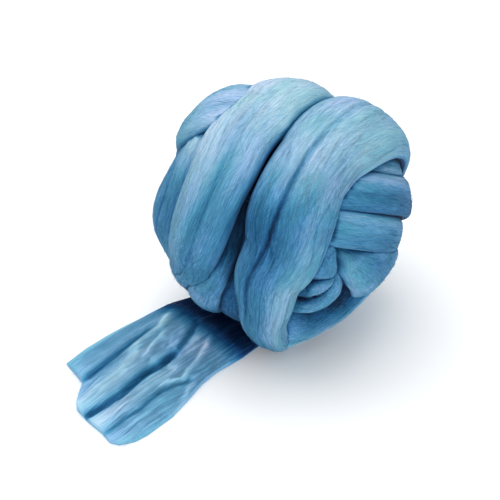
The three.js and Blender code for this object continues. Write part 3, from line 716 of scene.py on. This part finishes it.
def read_grid(grid, row, column):
    """Values of a grid at places between its points."""
    row = np.clip(row, 0, grid.shape[0] - 1.001)
    column = np.clip(column, 0, grid.shape[1] - 1.001)
    above, left = row.astype(int), column.astype(int)
    down, right = row - above, column - left
    upper = grid[above, left] * (1 - right) + grid[above, left + 1] * right
    lower = grid[above + 1, left] * (1 - right) + grid[above + 1, left + 1] * right
    return upper * (1 - down) + lower * down


def turn_shade(turn, share, place):
    """How open a turn is, at shares of the way round it and places across."""
    swing = np.arccos(np.clip(-place, -1, 1)) / np.pi
    return read_grid(turn["open"], share % 1 * SKIN_STEPS[0], swing * SKIN_STEPS[1])


def end_shade(along, across):
    """How open the loose end is, at places along and across it."""
    row = (along - END_SKIN_ALONG[0]) / (END_SKIN_ALONG[1] - END_SKIN_ALONG[0])
    column = (across - END_SKIN_ACROSS[0]) / (END_SKIN_ACROSS[1] - END_SKIN_ACROSS[0])
    shade = read_grid(end_open, row * END_SKIN_STEPS[0], column * END_SKIN_STEPS[1])
    slanted = along - END_SHADE_SLANT * np.maximum(across - END_SHADE_TURNS, 0)
    under = np.clip((slanted - END_SHADE_STARTS) / (END_SHADE_FULL - END_SHADE_STARTS), 0, 1)
    return (END_LEAST_OPEN + (1 - END_LEAST_OPEN) * shade) * (1 - under * under * (3 - 2 * under))


def paint_shade(tones, shade):
    """Painted shade: the tone of wool that is open to the light by that share."""
    return tones * np.clip(FULL_LIGHT * shade, LEAST_LIGHT, 1) ** SHADE_POWER


def paint_top_light(points):
    """Painted light: how much paler the tone is made on top of the ball, where the lamp overhead lights it
    most.
    """
    high = np.clip((points[..., 2] - TOP_LIGHT_STARTS) / TOP_LIGHT_RISE, 0, 1)
    return TOP_LIGHT_TONE * high * high * (3 - 2 * high)


skins = [turn_skin(turn) for turn in ALL_TURNS] + [end_skin()]
all_skins = BVHTree.FromPolygons(*skin_quads(skins))
for turn, skin in zip(ALL_TURNS, skins):
    turn["open"] = openness(skin, all_skins)
end_open = openness(skins[-1], all_skins)
end_tones[:len(end_places)] = paint_shade(end_tones[:len(end_places)], end_shade(*end_places.T))
loose_end.data.attributes["painted_light_tone"].data.foreach_set("value", end_tones)

# The wound turns. The rope is wound into the ball in five groups of turns, inner ones first, each held by
# the turns over it. Most of a turn's grid lies on its top, and the rest closes it underneath.
TOP_SHARE = 0.8
GIRTH_PER_WIDTH = 2.2
# Painted shade: the undersides are toned as if they saw only this share of the sky.
UNDER_OPEN = 0.3
WOUND_CONTRAST = 0.38
WELD = 1e-6


def mean_width(turn):
    """The mean width of a turn, in millimetres."""
    return np.array(turn["rows"], float)[:, 2].mean()


def wind(name, turns):
    """Winds turns into one piece. Its UV map has a strip for each turn, as high as its girth."""
    sculpted = bmesh.new()
    layer = sculpted.loops.layers.uv.new("OFBake")
    tone_layer = sculpted.verts.layers.float.new("tone")
    girths = [GIRTH_PER_WIDTH * mean_width(turn) for turn in turns]
    strip_start = 0.0
    for turn, strip in zip(turns, np.array(girths) / sum(girths)):
        made = bmesh.ops.create_grid(sculpted, x_segments=turn["grid"][0], y_segments=turn["grid"][1],
                                     size=1, calc_uvs=True)["verts"]
        faces = {face for vert in made for face in vert.link_faces}
        for loop in (loop for face in faces for loop in face.loops):
            loop[layer].uv.y = strip_start + strip * loop[layer].uv.y
        strip_start += strip
        shares = (np.array([vert.co for vert in made])[:, :2] + 1) / 2
        on_top = shares[:, 1] <= TOP_SHARE
        swing = np.where(on_top, shares[:, 1] / TOP_SHARE, 1 + (shares[:, 1] - TOP_SHARE) / (1 - TOP_SHARE))
        place = -np.cos(np.pi * swing)
        points, tones = turn_points(turn, shares[:, 0], place, on_top)
        shade = np.where(on_top, turn_shade(turn, shares[:, 0], place), UNDER_OPEN)
        for vert, point, tone in zip(made, points * MM, paint_shade(tones + paint_top_light(points), shade)):
            vert.co = point
            vert[tone_layer] = tone
        bmesh.ops.remove_doubles(sculpted, verts=made, dist=WELD)
    bmesh.ops.recalc_face_normals(sculpted, faces=sculpted.faces)
    tones = [vert[tone_layer] for vert in sculpted.verts]
    sculpted.verts.layers.float.remove(tone_layer)
    wool = combed_merino("combed merino, " + name, TURN_LENGTH, sum(girths), WOUND_CONTRAST, WOUND_BLUES)
    finish_wool(name, sculpted, tones, wool, "wound_ball")


wind("nest_turns", [PINCH_STRAND, RIM_STRAND, INNER_NEST_STRAND, OUTER_NEST_STRAND])
wind("end_turns", [END_TOP_TURN, END_UPPER_TURN, END_MIDDLE_TURN, END_FAN_TURN, LOWER_INNER_TURN])
wind("far_turns", [GAP_TURN, PINCHED_TURN, FAR_TURN, BACK_TURN])
wind("left_outer_turn", [LEFT_OUTER_TURN])
wind("right_outer_turn", [RIGHT_OUTER_TURN])

# The loose fibres. A thin coat of fibres lies along the wool and lifts a little out of it. Each is tapered at
# both ends, and is held only by the fibres that it lies among. Real merino is about 0.02 mm thick, too fine
# to show, so these are drawn 0.12 mm thick.
OUTER_FIBRES = 7400
INNER_FIBRES = 6000
END_FIBRES = 2600
FIBRE_RINGS = 5
FIBRE_RADIUS = 0.06
FIBRE_TIP = 0.05
FIBRE_TAPER = FIBRE_RADIUS * np.sqrt(np.sin(np.linspace(FIBRE_TIP, np.pi - FIBRE_TIP, FIBRE_RINGS)))
ALONG_FIBRE = np.linspace(-0.5, 0.5, FIBRE_RINGS)[None, :]
# How steeply fibres near the table face up, and the bare edge of a fibre's square in the UV map.
FIBRE_TABLE_RISE = 40.0
FIBRE_CELL_MARGIN = 0.1
# Fibres along the wool, and shorter ones that cross them: their lengths, and how much their slants spread.
LYING_REACH = (20, 50)
LYING_SLANT = 0.05
CROSSING_SHARE = 0.45
CROSSING_REACH = (8, 18)
CROSSING_SLANT = 0.16
# Where across a turn fibres lie, from -1 to 1, and how they wave: how far, how often and from where.
FIBRE_SPREAD = 0.95
FIBRE_LIMIT = 0.97
WAVE_DEPTH = 0.02
WAVE_BENDS = (3, 9)
WAVE_START = 90
# How deep in the wool a fibre lies, how far it bows out of it, and how far a stray one stands up.
FIBRE_SUNK = 0.06
FIBRE_LIFT = 0.06
FIBRE_BOW = 0.9
STRAY_SHARE = 0.06
STRAY_LIFT = 1.8
# Fibres are drawn over a whole turn, and kept where at least this share of the sky is open.
SPARE_FIBRES = 3.5
LEAST_OPEN = 0.1
FIBRE_PALER = 0.06
FIBRE_TONES = 0.06
# The loose end's fibres: where they lie, how long, how slanted and how high, and how they pass the torn edge.
END_FIBRE_ACROSS = (-27, 29.5)
END_FIBRE_LAST = 78
END_FIBRE_CROWDING = 1.15
END_FIBRE_REACH = (14, 40)
END_FIBRE_SLANT = 1.2
END_FIBRE_MARGIN = 0.6
END_FIBRE_SUNK = 0.05
END_FIBRE_LIFT = 0.07
END_FIBRE_LOWEST = 0.15
# The share of the loose end's painted light that its fibres take.
END_FIBRE_PAINTED_LIGHT = 0.8
PAST_TORN_EDGE = 2.5
draw = np.random.default_rng(23)


# Merino fibre: one dyed fibre, glossier than the mass of them, with a touch of light off its scales.
def merino_fibre(name, dyed):
    """The look of single fibres with that dye."""
    material = bpy.data.materials.new(name)
    material.use_nodes = True
    tree = material.node_tree
    tree.nodes.clear()
    tone = add_node(tree, "ShaderNodeAttribute", {}, attribute_name="painted_light_tone")
    blues = add_node(tree, "ShaderNodeValToRGB", {"Fac": tone.outputs["Fac"]}, dyed)
    fibre = add_node(tree, "ShaderNodeBsdfPrincipled", {
        "Base Color": blues.outputs["Color"], "Roughness": 0.75, "Specular IOR Level": 0.06})
    add_node(tree, "ShaderNodeOutputMaterial", {"Surface": fibre.outputs["BSDF"]})
    return material


def lay_fibres(name, lines, tones, material, node):
    """Lays three-sided fibres with pointed ends along lines of points, in millimetres, as one piece."""
    sculpted = bmesh.new()
    sculpted.loops.layers.uv.new("OFBake")
    number = sculpted.verts.layers.int.new("fibre_number")
    bmesh.ops.create_cone(sculpted, segments=3, radius1=1, radius2=1, depth=1, cap_ends=True, calc_uvs=True)
    lengthwise = [edge for edge in sculpted.edges if edge.verts[0].co.z * edge.verts[1].co.z < 0]
    bmesh.ops.subdivide_edges(sculpted, edges=lengthwise, cuts=FIBRE_RINGS - 2, use_grid_fill=True)
    laid = 1
    while laid < len(lines):
        copied = [face for face in sculpted.faces if face.verts[0][number] < len(lines) - laid]
        made = bmesh.ops.duplicate(sculpted, geom=copied)["geom"]
        for vert in (item for item in made if isinstance(item, bmesh.types.BMVert)):
            vert[number] += laid
        laid = min(2 * laid, len(lines))
    numbers = np.array([vert[number] for vert in sculpted.verts])
    sculpted.verts.layers.int.remove(number)
    corners = np.array([vert.co for vert in sculpted.verts])
    rings = np.rint((corners[:, 2] + 0.5) * (FIBRE_RINGS - 1)).astype(int)
    ahead = np.gradient(lines, axis=1)
    outward = lines - BALL_CENTRE
    outward[:, :, 2] = np.where(lines[:, :, 2] < NEAR_TABLE, FIBRE_TABLE_RISE, outward[:, :, 2])
    aside = unit(np.cross(outward, ahead))
    outward = unit(np.cross(ahead, aside))
    spread = corners[:, :1] * aside[numbers, rings] + corners[:, 1:2] * outward[numbers, rings]
    points = lines[numbers, rings] + FIBRE_TAPER[rings, None] * spread
    for vert, point in zip(sculpted.verts, points * MM):
        vert.co = point
    mesh = finish_wool(name, sculpted, tones[numbers, rings], material, node).data
    # Every fibre has a square of its own in the UV map.
    cells = math.ceil(math.sqrt(len(lines)))
    corner_verts = np.empty(len(mesh.loops), np.int32)
    mesh.loops.foreach_get("vertex_index", corner_verts)
    cell = np.column_stack((numbers[corner_verts] % cells, numbers[corner_verts] // cells))
    uv = np.empty(2 * len(corner_verts), np.float32)
    mesh.uv_layers["OFBake"].data.foreach_get("uv", uv)
    uv = (cell + FIBRE_CELL_MARGIN + (1 - 2 * FIBRE_CELL_MARGIN) * uv.reshape(-1, 2)) / cells
    mesh.uv_layers["OFBake"].data.foreach_set("uv", uv.ravel())


def comb_turns(name, turns, count):
    """Lays that many fibres on the turns, where they show."""
    widths = np.array([mean_width(turn) for turn in turns])
    lines, tones = [], []
    for turn, number in zip(turns, (SPARE_FIBRES * count * widths / widths.sum()).astype(int)):
        each = (number, 1)
        middle = draw.uniform(0, 1, each)
        crossing = draw.uniform(0, 1, each) < CROSSING_SHARE
        reach = np.where(crossing, draw.uniform(*CROSSING_REACH, each), draw.uniform(*LYING_REACH, each))
        share = middle + reach / TURN_LENGTH * ALONG_FIBRE
        slant = draw.normal(0, 1, each) * np.where(crossing, CROSSING_SLANT, LYING_SLANT)
        place = draw.uniform(-FIBRE_SPREAD, FIBRE_SPREAD, each) + ALONG_FIBRE * slant
        place += WAVE_DEPTH * np.sin(ALONG_FIBRE * draw.uniform(*WAVE_BENDS, each) + middle * WAVE_START)
        place = np.clip(place, -FIBRE_LIMIT, FIBRE_LIMIT)
        bow = np.cos(np.pi * ALONG_FIBRE * FIBRE_BOW)
        lift = -FIBRE_SUNK + draw.gamma(2, FIBRE_LIFT, each) * bow
        stray = draw.uniform(0, 1, each) < STRAY_SHARE
        lift = lift + stray * draw.uniform(0, STRAY_LIFT, each) * (ALONG_FIBRE + 0.5) ** 2
        shade = turn_shade(turn, share.ravel(), place.ravel()).reshape(share.shape)
        showing = (shade[:, 1] > LEAST_OPEN) & (shade[:, -2] > LEAST_OPEN)
        points, wool_tones = turn_points(turn, share.ravel(), place.ravel(), True, lift.ravel())
        points = points.reshape(number, FIBRE_RINGS, 3)
        tone = wool_tones.reshape(share.shape) + draw.normal(FIBRE_PALER, FIBRE_TONES, each)
        lines.append(points[showing])
        tones.append(paint_shade(np.clip(tone + paint_top_light(points), 0, 1), shade)[showing])
    picked = draw.permutation(sum(len(group) for group in lines))[:count]
    lay_fibres(name, np.concatenate(lines)[picked], np.concatenate(tones)[picked],
               merino_fibre("merino fibre, " + name, WOUND_BLUES), "wound_ball")


def comb_end(name, count):
    """Lays that many fibres on the loose end. Some reach past its torn edge."""
    each = (count, 1)
    start = draw.uniform(*END_FIBRE_ACROSS, each)
    torn = np.interp(start, TORN_EDGE[:, 0], TORN_EDGE[:, 1])
    reach = draw.uniform(*END_FIBRE_REACH, each)
    onward = draw.uniform(0, 1, each) ** END_FIBRE_CROWDING * (END_FIBRE_LAST - torn)
    along = torn - PAST_TORN_EDGE + reach / 2 + onward + reach * ALONG_FIBRE
    left, right, _ = end_sides(along)
    across = start + ALONG_FIBRE * draw.normal(0, END_FIBRE_SLANT, each)
    across = np.clip(across, left + END_FIBRE_MARGIN, right - END_FIBRE_MARGIN)
    height, standing = (part.reshape(along.shape) for part in end_height(along.ravel(), across.ravel()))
    past = np.clip(torn - along, 0, None)
    bow = np.cos(np.pi * ALONG_FIBRE * FIBRE_BOW)
    lift = draw.gamma(2, END_FIBRE_LIFT, each) * bow - END_FIBRE_SUNK
    height = np.maximum(height * np.exp(-past / PAST_TORN_EDGE) + lift, END_FIBRE_LOWEST)
    spots = on_table(along.ravel(), across.ravel())
    lines = np.column_stack((spots, height.ravel())).reshape(count, FIBRE_RINGS, 3)
    tones = tone_of(standing) + END_FIBRE_PAINTED_LIGHT * end_painted_light(across) + draw.normal(0, FIBRE_TONES, each)
    shade = end_shade(along.ravel(), across.ravel()).reshape(along.shape)
    lay_fibres(name, lines, paint_shade(np.clip(tones, 0, 1), shade),
               merino_fibre("merino fibre, " + name, OPENED_BLUES), "loose_end")


comb_turns("outer_fibres", [LEFT_OUTER_TURN, RIGHT_OUTER_TURN], OUTER_FIBRES)
comb_turns("inner_fibres", ALL_TURNS[:-2], INNER_FIBRES)
comb_end("end_fibres", END_FIBRES)

# The table and the light. The wool lies on a plain pale top, under a large soft lamp overhead, with pale
# walls all round. A weaker lamp in front keeps the near side out of the dark.
TABLE_HALF_SIZE = 3.0
TABLE_COLOUR = "#fbfbfb"
WALL_COLOUR = "#f6f7f7"
WALL_STRENGTH = 0.79
LAMP_AIM = Vector((0, 0, 0.05))
# Each lamp's name, place, size and watts.
LAMPS = (("roof lamp", (-0.2, 0.1, 0.85), 1.1, 6.4), ("front lamp", (0.2, -0.8, 0.12), 0.6, 3.2))

floor_mesh = bpy.data.meshes.new("table_top")
sculpted = bmesh.new()
bmesh.ops.create_grid(sculpted, x_segments=1, y_segments=1, size=TABLE_HALF_SIZE)
sculpted.to_mesh(floor_mesh)
sculpted.free()
# Matt white board: a painted sheet that takes soft shadows and shows no gloss.
floor_paint = bpy.data.materials.new("matt white board")
floor_paint.use_nodes = True
floor_paint.node_tree.nodes["Principled BSDF"].inputs["Base Color"].default_value = linear(TABLE_COLOUR)
floor_paint.node_tree.nodes["Principled BSDF"].inputs["Roughness"].default_value = 0.9
floor_mesh.materials.append(floor_paint)
table_top = bpy.data.objects.new("table_top", floor_mesh)
bpy.context.scene.collection.objects.link(table_top)

walls = bpy.data.worlds.new("pale walls")
walls.use_nodes = True
walls.node_tree.nodes["Background"].inputs["Color"].default_value = linear(WALL_COLOUR)
walls.node_tree.nodes["Background"].inputs["Strength"].default_value = WALL_STRENGTH
bpy.context.scene.world = walls
for name, place, size, watts in LAMPS:
    lamp = bpy.data.lights.new(name, "AREA")
    lamp.size = size
    lamp.energy = watts
    stand = bpy.data.objects.new(name, lamp)
    stand.location = place
    stand.rotation_euler = (LAMP_AIM - stand.location).to_track_quat("-Z", "Y").to_euler()
    bpy.context.scene.collection.objects.link(stand)
bpy.context.scene.view_settings.view_transform = "Standard"

# The camera: an 85 mm lens, a little over half a metre off and 38 degrees up, straight at the front.
CAMERA_PLACE = (-0.014286, -0.438352, 0.380595)
CAMERA_TILT = math.radians(52)
camera = bpy.data.cameras.new("camera")
camera.lens = 85
camera.sensor_width = 36
tripod = bpy.data.objects.new("camera", camera)
tripod.location = CAMERA_PLACE
tripod.rotation_euler = (CAMERA_TILT, 0, 0)
bpy.context.scene.collection.objects.link(tripod)
bpy.context.scene.camera = tripod
